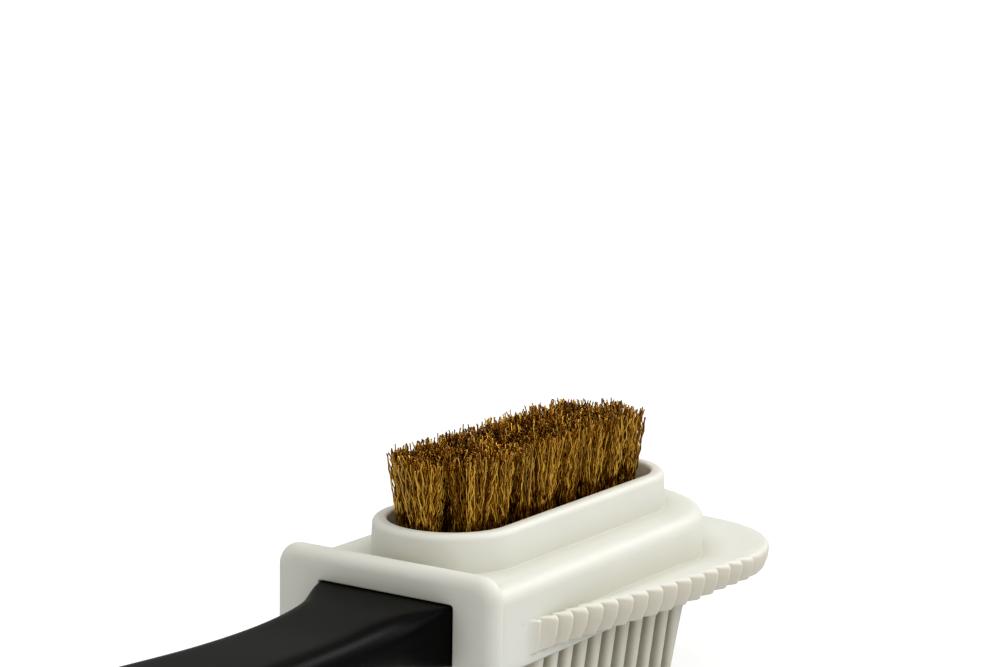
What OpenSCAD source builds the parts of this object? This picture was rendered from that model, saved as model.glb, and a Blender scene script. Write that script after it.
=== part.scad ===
// Suede brush with a rubber head pushed over a plastic handle.
// Brass wire tufts stand in a collar on top, a toothed lip runs round the head,
// and rubber fins hang below. +X runs to the nose, +Z points up, and the fin tips
// rest on Z = 0, under the middle of the brush.

/* [Head body] */
// Width of the head's main body
body_w = 31.5; // [27:0.5:40]
// From the back of the rim plate to the centre of the round front end
arc_x = 49.75; // [42:0.25:62]
// From the deck down to the body's underside
body_h = 11; // [10:0.5:16]
// Rounding along the top edge of the deck
deck_r = 1.8; // [0.6:0.1:2.2]
// Thickness of the rubber over and beside the plastic core
skin = 2.4; // [1.6:0.1:3.2]
// Thickness of the rubber under the plastic core
sole = 2; // [1.4:0.1:3]

/* [Rim plate] */
// How far the plate stands out past the body's sides
plate_side = 1.5; // [0.4:0.05:3]
// Thickness of the plate
plate_t = 2.3; // [1.6:0.1:3.4]
// How far the plate stands above the deck
plate_rise = 2; // [1:0.1:3]
// How far the plate reaches below the body's underside
plate_skirt = 1.2; // [0:0.1:3]
// Corner radius of the plate
plate_r = 2.8; // [0.8:0.1:3]
// Width of the socket that the handle goes into
socket_w = 20.8; // [17:0.2:24]
// Height of the socket
socket_h = 8; // [6:0.1:8.4]
// From the deck down to the top of the socket
socket_drop = 2; // [1.6:0.1:2.6]

/* [Collar] */
// Width of the collar at its foot
collar_w = 20.6; // [17:0.2:25]
// Gap between the rim plate and the collar's foot
collar_gap = 1.8; // [1.5:0.1:5]
// Height of the collar above the deck
collar_h = 5.1; // [3:0.1:7]
// Thickness of the collar's wall at its foot
collar_wall = 2.1; // [1.6:0.05:3.2]
// Lean of the collar's outer wall, foot to rim
collar_lean = 0.15; // [0:0.05:0.6]
// Rounding of the collar's outer top edge
collar_r = 0.9; // [0.4:0.1:1.1]

/* [Toothed lip] */
// How far the tooth tips stand out past the body's sides
lip_out = 7.45; // [4:0.05:11]
// How far the lip's tip stands out past the body's front
lip_front = 6.85; // [4:0.05:11]
// From the deck down to the top of the lip
lip_drop = 5.1; // [4:0.1:7]
// Thickness of the lip at its teeth
lip_t = 3.2; // [2:0.1:4.4]
// Where the lip starts, measured from the back of the rim plate
lip_start = 8; // [5:0.5:14]
// Teeth on each side, from the back to the nose
tooth_count = 25; // [12:1:34]
// How much closer the rear teeth stand than the middle ones, as a share
tooth_crowd = 0.25; // [0:0.05:0.4]
// How far forward the row of teeth starts, as a share of a tooth
tooth_shift = 0.35; // [0:0.05:0.9]
// Where the teeth start to die out towards the nose, as a share of the lip's edge
tooth_end = 0.54; // [0.4:0.02:0.9]
// Depth of the ratchet teeth
tooth_depth = 1.1; // [0.4:0.1:1.4]
// Step along the top and bottom edges of the lip, in place of their rounding
tooth_edge = 0.4; // [0.2:0.1:0.6]

/* [Fins] */
// Number of rubber fins across the underside
fin_count = 11; // [5:1:12]
// Distance from one fin to the next
fin_pitch = 3.7; // [2.8:0.05:4.2]
// Centre of the rearmost fin, from the back of the rim plate
fin_start = 13.2; // [13:0.1:18]
// Length of a fin below the underside
fin_h = 13; // [8:0.5:18]
// Thickness of a fin at its root
fin_root_t = 2.1; // [1.4:0.1:2.6]
// Thickness of a fin at its tip
fin_tip_t = 1.5; // [0.8:0.1:2]
// From the body's side in to the end of a fin's root
fin_inset = 0.75; // [0:0.05:4]
// How much further in the end of a fin is at its tip
fin_taper = 1.6; // [0:0.1:3]
// Slope of the front fin's nose face, root to tip
fin_rake = 1.6; // [0:0.1:2.4]
// How much closer the front fin stands to its neighbour than the others do
fin_crowd = 0.8; // [0:0.1:0.8]

/* [Handle] */
// Length of the handle behind the rim plate
handle_len = 95; // [80:1:120]
// From the top of the socket down to the middle of the neck
neck_drop = 3.65; // [3.4:0.05:4.2]
// Width of the neck
neck_w = 16.8; // [12:0.4:20]
// Width of the grip at its widest
grip_w = 25; // [20:0.5:32]
// Thickness of the neck
neck_t = 5; // [4:0.1:7]
// Thickness of the grip at its thickest
grip_t = 9.6; // [7:0.1:13]
// Thickness of the flat end round the hanging hole
end_t = 6; // [4:0.1:8]
// Diameter of the hanging hole
hang_d = 5.5; // [3:0.1:7]
// From the handle's end to the centre of the hanging hole
hang_inset = 8.5; // [7:0.1:14]

/* [Wire tufts] */
// Tufts in each outer row
row_count = 8; // [5:1:8]
// Gap from the back of the collar's opening to the first tuft
rear_room = 1.5; // [0.5:0.05:2]
// Gap from the last tuft to the front of the collar's opening
front_room = 3.3; // [0.5:0.1:4]
// Gap from an outer row's tufts to the side of the collar's opening
side_room = 1.9; // [0.4:0.05:2.2]
// Diameter of a tuft hole
tuft_d = 3.4; // [2.6:0.1:3.6]
// Depth of a tuft hole
tuft_depth = 5; // [4:0.1:6]
// Top of the plastic core above the deck, inside the collar
core_rise = 1.2; // [0.4:0.1:2.4]
// Height of the wire tips above the deck
wire_top = 13.9; // [9:0.1:18]
// Strands modelled in each tuft
strand_count = 16; // [8:1:18]
// Diameter of a modelled strand, which stands for several wires
strand_d = 0.5; // [0.3:0.05:0.6]
// Spread of a tuft's tip against its root
tuft_spread = 1.6; // [1:0.05:1.8]

/* [Fits] */
// Gap all round between the rubber and the plastic core
boot_fit = 0.1; // [0.05:0.05:0.3]
// Gap between a tuft's root and its hole, and round its anchor
tuft_fit = 0.05; // [0.02:0.01:0.1]

/* [Hidden] */
// Smooth curves
$fn = 64;
// Cuts run this far past a surface, and joined solids this far into each other
eps = 0.5;

// Main heights and lengths of the head, from the deck and the back of the plate
stand_h = body_h + fin_h;
lip_reach = body_w / 2 + lip_front;
nose_x = arc_x + lip_reach;
mid_x = (nose_x - handle_len) / 2;
plate_low = -body_h - plate_skirt;
plate_w = body_w + 2 * plate_side;

// Space inside the rubber, which the plastic core fills
cavity_w = body_w - 2 * skin;
cavity_x = plate_t + 1.2;
cavity_top = -skin;
cavity_low = sole - body_h;

// Collar: both ends are half circles
collar_r_out = collar_w / 2;
collar_r_in = collar_r_out - collar_wall;
collar_back = plate_t + collar_gap + collar_r_out;
collar_foot_r = 0.8;
rim_soft = 0.4;
// Flats that stand for each rounded edge of the head
corner_flats = 3;

// Tufts stand in three rows, the middle one half a pitch out of step. They share out
// the length of the collar's opening between the gaps left at its two ends.
middle_count = row_count + 1;
row_gap = collar_r_in - side_room - tuft_d / 2;
field_back = collar_back - collar_r_in + rear_room + tuft_d / 2;
field_front = arc_x + collar_r_in - front_room - tuft_d / 2;
tuft_pitch = (field_front - field_back) / row_count;
field_x = (field_front + field_back) / 2;
root_low = core_rise - tuft_depth;
anchor_l = tuft_d + 0.8;
anchor_t = 0.35;
anchor_h = 1.5;
anchor_lift = 0.5;
// The whole field leans outward a little towards its edges, and more at the back
field_spread_x = 1.03;
field_spread_y = 1.05;
field_lean = 0.5;
// Lengths of the strands differ by up to this much
tip_scatter = 0.8;

// Handle: centre line of the tang, and the rounded end
tang_z = -socket_drop - neck_drop;
tang_gap = 0.3;
end_round = 12;
ring_sides = 24;
ring_count = 28;

function rows() = [
    for (i = [0 : row_count - 1])
        [str("tuft_right_", i + 1), field_x + (i - (row_count - 1) / 2) * tuft_pitch, -row_gap],
    for (i = [0 : middle_count - 1])
        [str("tuft_middle_", i + 1), field_x + (i - (middle_count - 1) / 2) * tuft_pitch, 0],
    for (i = [0 : row_count - 1])
        [str("tuft_left_", i + 1), field_x + (i - (row_count - 1) / 2) * tuft_pitch, row_gap]
];
tufts = rows();

// Moves a shape from the head's own measuring point to the brush's frame
module place() {
    translate([-mid_x, 0, stand_h]) children();
}

// Block with square back corners and a half-round front end
module tongue(x0, x1, w, z0, z1) {
    translate([x0, -w / 2, z0]) cube([x1 - w / 2 - x0, w, z1 - z0]);
    translate([x1 - w / 2, 0, z0]) cylinder(d = w, h = z1 - z0);
}

// Points along a rounded corner, in flats, from angle a to angle b
function rounding(x, y, r, a, b) = [
    for (i = [0 : corner_flats])
        let (t = a + (b - a) * i / corner_flats) [x + r * cos(t), y + r * sin(t)]
];

// Upright block with half-round ends, centres at xa and xb
module stadium(xa, xb, r, z0, z1) {
    translate([xa, -r, z0]) cube([xb - xa, 2 * r, z1 - z0]);
    for (x = [xa, xb]) translate([x, 0, z0]) cylinder(r = r, h = z1 - z0);
}

// Sweeps a profile of (distance from the middle line, height) round a stadium
module stadium_sweep(xa, xb) {
    translate([xb, 0, 0]) rotate([0, 0, -90]) rotate_extrude(angle = 180) children();
    translate([xa, 0, 0]) rotate([0, 0, 90]) rotate_extrude(angle = 180) children();
    for (side = [0, 1]) mirror([0, side, 0])
        translate([xa, 0, 0]) rotate([90, 0, 90]) linear_extrude(height = xb - xa) children();
}

// Main body of the head: straight sides, a half-round front and a rounded top edge
module body() {
    half = concat(
        [[body_w / 2, -body_h]],
        rounding(body_w / 2 - deck_r, -deck_r, deck_r, 0, 90)
    );
    n = len(half);
    translate([plate_t - eps, 0, 0]) rotate([90, 0, 90])
        linear_extrude(height = arc_x - plate_t + eps)
            polygon(concat(half, [for (i = [n - 1 : -1 : 0]) [-half[i][0], half[i][1]]]));
    translate([arc_x, 0, 0]) rotate([0, 0, -90])
        rotate_extrude(angle = 180) polygon(concat([[0, -body_h]], half, [[0, 0]]));
}

// Section through the collar's wall, with its foot fillet
module collar_section() {
    top_r = collar_r_out - collar_lean;
    foot = collar_r_out + collar_foot_r;
    polygon(concat(
        [[collar_r_in, -skin / 2], [collar_r_in, collar_h - rim_soft]],
        [[collar_r_in + rim_soft, collar_h]],
        rounding(top_r - collar_r, collar_h - collar_r, collar_r, 90, 0),
        rounding(foot, collar_foot_r, collar_foot_r, 180, 270),
        [[foot, -skin / 2]]
    ));
}

// Upright plate at the back of the head, corners rounded
module rim_plate() {
    h = plate_rise - plate_low;
    rotate([90, 0, 90]) linear_extrude(height = plate_t) {
        translate([-plate_w / 2 + plate_r, plate_low]) square([plate_w - 2 * plate_r, h]);
        translate([-plate_w / 2, plate_low + plate_r]) square([plate_w, h - 2 * plate_r]);
        for (y = [-1, 1], z = [plate_low + plate_r, plate_rise - plate_r])
            translate([y * (plate_w / 2 - plate_r), z]) circle(r = plate_r);
    }
}

// Outline of the lip without teeth: gentle flare along the sides, full round nose
lip_half = body_w / 2 + lip_out;
lip_root = body_w / 2 + 0.2;
lip_power = 2.8;
function lip_side(u) = [
    lip_start + (arc_x - lip_start) * u,
    lip_root + (lip_half - lip_root) * sin(90 * u)
];
function lip_nose(a) = [
    arc_x + lip_reach * pow(abs(cos(a)), 2 / lip_power),
    lip_half * pow(abs(sin(a)), 2 / lip_power)
];
lip_path = concat(
    [for (i = [0 : 19]) lip_side(i / 20)],
    [for (i = [0 : 48]) lip_nose(90 - i * 90 / 48)]
);

// Running length along the outline, and the point and outward normal at a length
function running(p, i = 0, sum = 0) =
    i >= len(p) ? [] : concat(
        [sum + (i > 0 ? norm(p[i] - p[i - 1]) : 0)],
        running(p, i + 1, sum + (i > 0 ? norm(p[i] - p[i - 1]) : 0))
    );
lip_run = running(lip_path);
lip_total = lip_run[len(lip_run) - 1];
lip_x_at = [for (i = [0 : len(lip_path) - 1]) [lip_run[i], lip_path[i][0]]];
lip_y_at = [for (i = [0 : len(lip_path) - 1]) [lip_run[i], lip_path[i][1]]];
function lip_at(s) = [lookup(s, lip_x_at), lookup(s, lip_y_at)];
function lip_normal(s) =
    let (
        a = lip_at(max(s - 0.6, 0)),
        b = lip_at(min(s + 0.6, lip_total)),
        d = (b - a) / norm(b - a)
    )
    [-d[1], d[0]];

// Ratchet teeth: the face slopes outward to the front, then steps in
function tooth_run(k) =
    let (u = (k + tooth_shift) / tooth_count)
    lip_total * u * (1 - tooth_crowd + tooth_crowd * u);
function tooth_fade(s) =
    let (u = max(0, min(1, (s / lip_total - tooth_end) / 0.12))) 1 - u * u * (3 - 2 * u);
tooth_form = [[0, -1], [0.43, -0.5], [0.86, 0], [0.97, -0.12]];
function lip_half_ring(inset) = [
    for (i = [0 : tooth_count - 1], f = tooth_form)
        let (s = tooth_run(i + f[0]))
        if (s < lip_total - 0.5)
            lip_at(s) + lip_normal(s) * (f[1] * tooth_depth * tooth_fade(s) - inset)
];
function lip_outline(inset) =
    let (half = lip_half_ring(inset), n = len(half))
    concat(
        [[lip_start, 0]],
        [for (p = half) [p[0], -max(p[1], 1)]],
        [[nose_x - inset, 0]],
        [for (i = [n - 1 : -1 : 0]) [half[i][0], max(half[i][1], 1)]]
    );

module lip() {
    low = -lip_drop - lip_t;
    translate([0, 0, low + tooth_edge])
        linear_extrude(height = lip_t - 2 * tooth_edge) polygon(lip_outline(0));
    translate([0, 0, low])
        linear_extrude(height = lip_t) polygon(lip_outline(tooth_edge));
}

// Closes a stack of rings, lowest first, into one solid
module stacked(rings) {
    n = len(rings[0]);
    m = len(rings);
    points = [for (r = rings, p = r) p];
    walls = [
        for (k = [0 : m - 2], i = [0 : n - 1])
            let (a = k * n + i, b = k * n + (i + 1) % n, c = a + n, d = b + n)
            each [[a, c, d], [a, d, b]]
    ];
    caps = [
        [for (i = [0 : n - 1]) i],
        [for (i = [n - 1 : -1 : 0]) (m - 1) * n + i]
    ];
    polyhedron(points = points, faces = concat(walls, caps), convexity = 8);
}

// One fin, its ends bevelled, tapering from root to tip
fin_root_w = body_w - 2 * fin_inset;
fin_tip_w = fin_root_w - 2 * fin_taper;
function fin_ring(x, t_back, t_front, w, z) =
    let (b = min(t_back, t_front) * 0.7)
    [
        [x - t_back, -w / 2 + b, z], [x - t_back + b, -w / 2, z],
        [x + t_front - b, -w / 2, z], [x + t_front, -w / 2 + b, z],
        [x + t_front, w / 2 - b, z], [x + t_front - b, w / 2, z],
        [x - t_back + b, w / 2, z], [x - t_back, w / 2 - b, z]
    ];
module fin(i) {
    front = i == fin_count - 1;
    x = fin_start + i * fin_pitch - (front ? fin_crowd : 0);
    rake = front ? fin_rake : 0;
    slim = front ? fin_crowd / 2 : 0;
    r = fin_root_t / 2;
    t = fin_tip_t / 2;
    stacked([
        fin_ring(x, t, t - slim, fin_tip_w, -stand_h),
        fin_ring(x, r, r - slim + rake, fin_root_w, -body_h + eps)
    ]);
}

// Rubber moulding: rim plate, deck, collar, toothed lip, fins and the space for the core
module rubber_head() {
    color("#dcdacb") place() difference() {
        union() {
            rim_plate();
            body();
            stadium_sweep(collar_back, arc_x) collar_section();
            lip();
            for (i = [0 : fin_count - 1]) fin(i);
        }
        translate([-eps, -socket_w / 2, -socket_drop - socket_h])
            cube([cavity_x + 2 * eps, socket_w, socket_h]);
        tongue(cavity_x, arc_x + cavity_w / 2, cavity_w, cavity_low, cavity_top);
        stadium(collar_back, arc_x, collar_r_in, cavity_top - eps, collar_h + eps);
    }
}

// Stations along the handle: place, half width, top, bottom, squareness
grip_mid = tang_z - 0.5;
stations = [
    [8, socket_w / 2 - tang_gap, -socket_drop - tang_gap, -socket_drop - socket_h + tang_gap, 7],
    [0, socket_w / 2 - tang_gap, -socket_drop - tang_gap, -socket_drop - socket_h + tang_gap, 7],
    [-7, neck_w / 2 + 0.7, tang_z + neck_t / 2 + 0.4, tang_z - neck_t / 2 - 0.3, 5.6],
    [-18, neck_w / 2, tang_z + neck_t / 2 - 0.2, tang_z - neck_t / 2 - 0.2, 5.2],
    [-30, neck_w / 2 + 0.8, tang_z + neck_t / 2 - 0.2, tang_z - neck_t / 2 - 0.9, 4.8],
    [-45, grip_w / 2 - 1.5, grip_mid + grip_t / 2 - 1.1, grip_mid - grip_t / 2 + 0.6, 4],
    [-62, grip_w / 2, grip_mid + grip_t / 2 - 0.6, grip_mid - grip_t / 2, 3],
    [-78, grip_w / 2 - 1.8, grip_mid + end_t / 2 + 0.6, grip_mid - end_t / 2 - 0.9, 3],
    [-88, grip_w / 2 - 2.4, grip_mid + end_t / 2, grip_mid - end_t / 2, 3],
    [-95, grip_w / 2 - 2.4, grip_mid + end_t / 2, grip_mid - end_t / 2, 3]
];
// Places behind the plate stretch with the handle's length
function station_x(s) = s[0] > 0 ? s[0] : s[0] * handle_len / 95;
// Smooth curve through the stations, for column c at place x
function blend(x, c, k = 1) =
    let (x1 = station_x(stations[k - 1]), x2 = station_x(stations[k]))
    (x < x2 && k < len(stations) - 1) ? blend(x, c, k + 1) :
    let (
        t = max(min((x - x1) / (x2 - x1), 1), 0),
        p1 = stations[k - 1][c],
        p2 = stations[k][c],
        x0 = k > 1 ? station_x(stations[k - 2]) : x1 + 8,
        p0 = k > 1 ? stations[k - 2][c] : p1,
        x3 = k < len(stations) - 1 ? station_x(stations[k + 1]) : x2 - 8,
        p3 = k < len(stations) - 1 ? stations[k + 1][c] : p2,
        m1 = (p2 - p0) / (x2 - x0) * (x2 - x1),
        m2 = (p3 - p1) / (x3 - x1) * (x2 - x1)
    )
    p1 * (2 * pow(t, 3) - 3 * t * t + 1) + m1 * (pow(t, 3) - 2 * t * t + t)
    + p2 * (3 * t * t - 2 * pow(t, 3)) + m2 * (pow(t, 3) - t * t);
// Rounding of the far end, 1 before it and 0 at the tip
function end_width(x) =
    let (u = max(0, (-handle_len + end_round - x) / end_round)) sqrt(max(1 - u * u, 0));
function end_height(x) =
    let (u = max(0, (-handle_len + end_round - x) / end_round)) pow(max(1 - pow(u, 8), 0), 1 / 4);
function handle_ring(x) =
    let (
        w = blend(x, 1) * max(end_width(x), 0.12),
        top = blend(x, 2),
        low = blend(x, 3),
        h = (top - low) / 2 * max(end_height(x), 0.5),
        n = blend(x, 4)
    )
    [for (i = [0 : ring_sides - 1])
        let (a = i * 360 / ring_sides, c = cos(a), s = sin(a))
        [x,
         w * sign(c) * pow(abs(c), 2 / n),
         (top + low) / 2 + h * sign(s) * pow(abs(s), 2 / n)]
    ];
// Rings stand closer together towards the rounded end, and the last one lies in the core
function ring_x(i) =
    let (u = i / (ring_count - 1), reach = handle_len + cavity_x + eps - boot_fit)
    -handle_len + reach * (1 - cos(90 * u)) * (0.35 + 0.65 * u);

// Plastic moulding: grip, neck, tang and the core that holds the tufts
module handle() {
    core_x = cavity_x + boot_fit;
    core_w = cavity_w - 2 * boot_fit;
    color("#1c1b1a") place() difference() {
        union() {
            stacked([for (i = [0 : ring_count - 1]) handle_ring(ring_x(i))]);
            tongue(core_x, arc_x + core_w / 2, core_w, cavity_low + boot_fit, cavity_top - boot_fit);
            stadium(collar_back, arc_x, collar_r_in - boot_fit, cavity_top - eps, core_rise);
        }
        translate([-handle_len + hang_inset, 0, grip_mid - grip_t])
            cylinder(d = hang_d, h = 2 * grip_t);
        for (t = tufts) translate([t[1], t[2], 0]) {
            translate([0, 0, root_low]) cylinder(d = tuft_d, h = tuft_depth + eps, $fn = 12);
            translate([-anchor_t / 2 - tuft_fit, -anchor_l / 2 - tuft_fit, root_low + anchor_lift])
                cube([anchor_t + 2 * tuft_fit, anchor_l + 2 * tuft_fit, tuft_depth]);
        }
    }
}

// Flat brass strips that pin the folded tufts down in their holes
module tuft_anchors() {
    color("#b08d3c") place() for (t = tufts)
        translate([t[1] - anchor_t / 2, t[2] - anchor_l / 2, root_low + anchor_lift + tuft_fit])
            cube([anchor_t, anchor_l, anchor_h]);
}

// One straight strand from a point in the root to its tip
module strand(a, b) {
    d = b - a;
    translate(a)
        rotate([0, acos(d[2] / norm(d)), atan2(d[1], d[0])])
            cylinder(d = strand_d, h = norm(d), $fn = 3);
}

// One tuft: a root packed tight in its hole, and strands that fan out to their tips
module tuft(t) {
    root_d = tuft_d - 2 * tuft_fit;
    seed = t[1] * 7 + t[2] * 13 + 100;
    drop = rands(0, tip_scatter, strand_count, seed);
    color("#8a6a24") place() {
        difference() {
            translate([t[1], t[2], root_low + tuft_fit])
                cylinder(d = root_d, h = tuft_depth + 0.6 - tuft_fit, $fn = 12);
            translate([t[1] - anchor_t / 2 - tuft_fit, t[2] - tuft_d, root_low + anchor_lift])
                cube([anchor_t + 2 * tuft_fit, 2 * tuft_d, anchor_h + 2 * tuft_fit]);
        }
        for (i = [0 : strand_count - 1]) {
            r = (root_d / 2 - strand_d * 0.6) * sqrt((i + 0.5) / strand_count);
            x = r * cos(137.5 * i);
            y = r * sin(137.5 * i);
            back = (field_front - t[1]) / (field_front - field_back);
            tip_x = field_x + (t[1] - field_x) * field_spread_x - back * field_lean + x * tuft_spread;
            tip_y = t[2] * field_spread_y + y * tuft_spread;
            strand(
                [t[1] + x, t[2] + y, core_rise],
                [tip_x, tip_y, wire_top - drop[i]]
            );
        }
    }
}

rubber_head();
handle();
tuft_anchors();
for (t = tufts) tuft(t);
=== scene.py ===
# %% [markdown]
# # A suede brush
# The real brush is a soft rubber head pushed over a black plastic handle. Crimped brass
# wires stand in a collar on top, a toothed rubber lip runs round the head, and rubber
# fins hang below. The construction model gives every piece its place and size. This
# lesson gives each piece its visible form and finish, one cell at a time.

# %% Load the construction model
from math import cos, hypot, pi, radians, sin, sqrt

import bmesh
import bpy
import numpy as np
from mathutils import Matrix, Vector


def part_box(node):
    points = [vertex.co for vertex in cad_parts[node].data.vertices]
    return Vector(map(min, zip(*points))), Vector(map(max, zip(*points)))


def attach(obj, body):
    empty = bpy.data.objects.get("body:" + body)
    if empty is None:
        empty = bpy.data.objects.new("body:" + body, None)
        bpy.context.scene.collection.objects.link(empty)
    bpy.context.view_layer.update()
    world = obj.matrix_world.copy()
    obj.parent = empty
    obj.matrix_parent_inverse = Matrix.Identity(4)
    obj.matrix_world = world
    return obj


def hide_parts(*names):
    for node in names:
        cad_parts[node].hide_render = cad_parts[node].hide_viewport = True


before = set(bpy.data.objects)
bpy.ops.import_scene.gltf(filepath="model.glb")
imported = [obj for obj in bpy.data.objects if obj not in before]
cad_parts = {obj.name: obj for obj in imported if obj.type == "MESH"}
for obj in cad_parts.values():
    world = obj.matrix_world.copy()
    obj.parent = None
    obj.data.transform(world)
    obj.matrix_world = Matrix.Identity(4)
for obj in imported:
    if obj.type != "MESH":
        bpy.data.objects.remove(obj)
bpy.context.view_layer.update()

# %% [markdown]
# ## One set of sizes
# Every size is in millimetres, as on a drawing of the head: X runs from the back of the
# rim plate to the nose, Y runs to the left, and Z is 0 on the deck. Working in the
# drawing's own place keeps the numbers plain. One function then moves points into the
# model's frame, in metres, and it takes the place from the model itself.

# %% Sizes of the head and the move to the frame
MM = 0.001
body_half, body_h, arc_x, deck_r = 15.75, 11, 49.75, 1.8
plate_half, plate_t, plate_top, plate_low, plate_r = 17.05, 2.3, 2, -12.2, 3
socket_half, socket_top, socket_low = 10.4, -2, -10
collar_x, collar_out, collar_in, collar_h, collar_lean = 14.4, 10.3, 8.2, 5.1, 0.15
head_low, head_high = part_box("rubber_head")
drawing_origin = (head_low.x / MM, 0, head_high.z / MM - collar_h)


def to_frame(points):
    """Moves points from the drawing of the head, in mm, to the frame, in metres."""
    return (np.asarray(points, float) + drawing_origin) * MM


print("the drawing's origin in the frame, mm:", [round(c, 3) for c in drawing_origin])

# %% [markdown]
# ## Skins from rings
# Moulded parts have soft edges that run all the way round. A stack of rings makes them
# well: each ring is an outline at one height, the skin joins it to the next ring, and a
# few close rings make a rounded edge. It keeps the mesh small and its quads in order.
# Where two rings meet in a point or a line, the doubled points are merged.

# %% Helpers for skins
def skin(rings, closed=False):
    """Points and faces of a stack of rings. The ends are capped, or joined to each other."""
    size = len(rings[0])
    count = len(rings)
    faces = []
    for k in range(count if closed else count - 1):
        here, there = k * size, (k + 1) % count * size
        for i in range(size):
            j = (i + 1) % size
            faces.append((here + i, here + j, there + j, there + i))
    if not closed:
        faces.append(tuple(range(size))[::-1])
        faces.append(tuple(range((count - 1) * size, count * size)))
    return np.concatenate(rings), faces


def piece(name, parts, sharp=40):
    """Makes one object of several closed skins, with edges past a number of degrees sharp."""
    mesh = bpy.data.meshes.new(name)
    points, faces = [], []
    for part_points, part_faces in parts:
        start = sum(len(p) for p in points)
        points.append(to_frame(part_points))
        faces += [tuple(start + i for i in face) for face in part_faces]
    mesh.from_pydata(np.concatenate(points).tolist(), [], faces)
    tidy = bmesh.new()
    tidy.from_mesh(mesh)
    bmesh.ops.remove_doubles(tidy, verts=tidy.verts, dist=0.004 * MM)
    bmesh.ops.recalc_face_normals(tidy, faces=tidy.faces)
    open_edges = sum(not edge.is_manifold for edge in tidy.edges)
    tidy.to_mesh(mesh)
    tidy.free()
    mesh.shade_smooth()
    mesh.set_sharp_from_angle(angle=radians(sharp))
    made = bpy.data.objects.new(name, mesh)
    bpy.context.scene.collection.objects.link(made)
    print(name, "has", len(mesh.vertices), "points and", open_edges, "open edges")
    return made


def quarter(steps):
    """Sine and 1 - cosine along a quarter turn, for a rounded edge."""
    turns = [pi / 2 * k / steps for k in range(steps + 1)]
    return [(sin(t), 1 - cos(t)) for t in turns]


print("a rounded edge in 3 steps:", [(round(s, 2), round(c, 2)) for s, c in quarter(3)])

# %% [markdown]
# ## The edge of the toothed lip
# The lip is a spade-shaped shelf of rubber round the head. Its edge carries ratchet
# teeth that lift the nap of the suede: each tooth climbs towards the nose, ends in a
# rounded crest and steps back. The teeth die out before the nose. The outline could be
# drawn as a curve by hand. It follows a rule, though, a gentle flare along the sides and
# a full rounded nose, so two short formulas give it, and the teeth are laid along its
# running length. One list holds the form of one tooth.

# %% Outline of the lip
lip_half, lip_reach, lip_start, lip_root, lip_power = 23.2, 22.65, 8, 15.95, 2.9
tooth_count, tooth_shift, tooth_crowd, tooth_depth = 25, 0.36, 0.25, 1.1
tooth_early, tooth_least = 0.006, 0.0005
# Share of a tooth's pitch, and height from its foot at -1 to its crest at 0
tooth_form = [
    (0, -1), (0.2, -0.77), (0.4, -0.53), (0.6, -0.29), (0.78, -0.07), (0.84, -0.01),
    (0.91, 0), (0.945, -0.04), (0.967, -0.14), (0.985, -0.4),
]
# The shares of the edge between which the teeth fade out
tooth_fade = (0.54, 0.66)

flare = np.linspace(0, 1, 160)
turn = np.linspace(pi / 2, 0, 400)
edge = np.concatenate([
    np.stack([lip_start + (arc_x - lip_start) * flare,
              lip_root + (lip_half - lip_root) * np.sin(pi / 2 * flare)], 1)[:-1],
    np.stack([arc_x + lip_reach * np.cos(turn).clip(0) ** (2 / lip_power),
              lip_half * np.sin(turn).clip(0) ** (2 / lip_power)], 1),
])
edge_run = np.concatenate([[0], np.cumsum(np.hypot(*np.diff(edge, axis=0).T))])


def edge_at(run):
    """The point at a running length along the outline."""
    return np.array([np.interp(run, edge_run, edge[:, axis]) for axis in (0, 1)])


def edge_normal(run, reach=0.6):
    """The outward direction at a running length along the outline."""
    along = edge_at(min(run + reach, edge_run[-1])) - edge_at(max(run - reach, 0))
    return np.array([-along[1], along[0]]) / hypot(*along)


def tooth_run(k):
    """Running length at which tooth k starts. The rear teeth stand closer together, and
    the first two start a little early, which sets them apart."""
    u = (k + tooth_shift) / tooth_count
    early = tooth_early * max(0, 1.9 - k)
    share = u * (1 - tooth_crowd + tooth_crowd * u) - early
    return edge_run[-1] * max(share, tooth_least * (1 + k))


def tooth_reach(run):
    """Depth of the teeth at a running length."""
    start, end = tooth_fade
    u = np.clip((run / edge_run[-1] - start) / (end - start), 0, 1)
    return tooth_depth * (1 - u * u * (3 - 2 * u))


print("the lip's edge is", round(2 * edge_run[-1], 1), "mm long")

# %% [markdown]
# ## One loop for the whole head
# The body, the lip and the collar have different outlines, but a skin needs rings with
# the same number of points. So the loop has fixed stations: each has a place on the
# head's middle line and a direction outwards. The collar, the body and the lip are then
# only distances along that direction. The stations follow the teeth, because they need
# the most points. A class keeps what belongs to one station together.

# %% Stations round the head
shell_back, least_reach, tip_gap = 2.1, 0.1, 0.1
rear_steps, side_steps = 14, 6


class Station:
    """A place on the middle line, a direction outwards, and how far the lip stands out."""

    def __init__(self, centre, toward, lip=None, run=0.0, crest=0.0):
        self.centre = np.array([centre, 0.0])
        self.out = (np.array(toward) - self.centre) / hypot(*(np.array(toward) - self.centre))
        body = self.body(body_half)
        self.lip = body if lip is None else lip
        self.reach = max(0, float((self.lip - body) @ self.out))
        if self.reach < least_reach:
            self.lip, self.reach = body, 0
        self.share, self.crest = run / edge_run[-1], crest
        self.smooth = self.reach + (0 if lip is None else tooth_depth * (1 - crest))

    def body(self, half):
        """The body's outline at a half width, on this station's line."""
        if self.centre[0] >= arc_x:
            return self.centre + self.out * half
        reach = half / self.out[1] if self.out[1] > 1e-9 else 1e9
        if self.out[0] < -1e-9:
            reach = min(reach, (shell_back - self.centre[0]) / self.out[0])
        return self.centre + self.out * reach

    def round(self, radius):
        """A point at this distance from the middle line, for the collar."""
        return self.centre + self.out * radius


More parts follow.
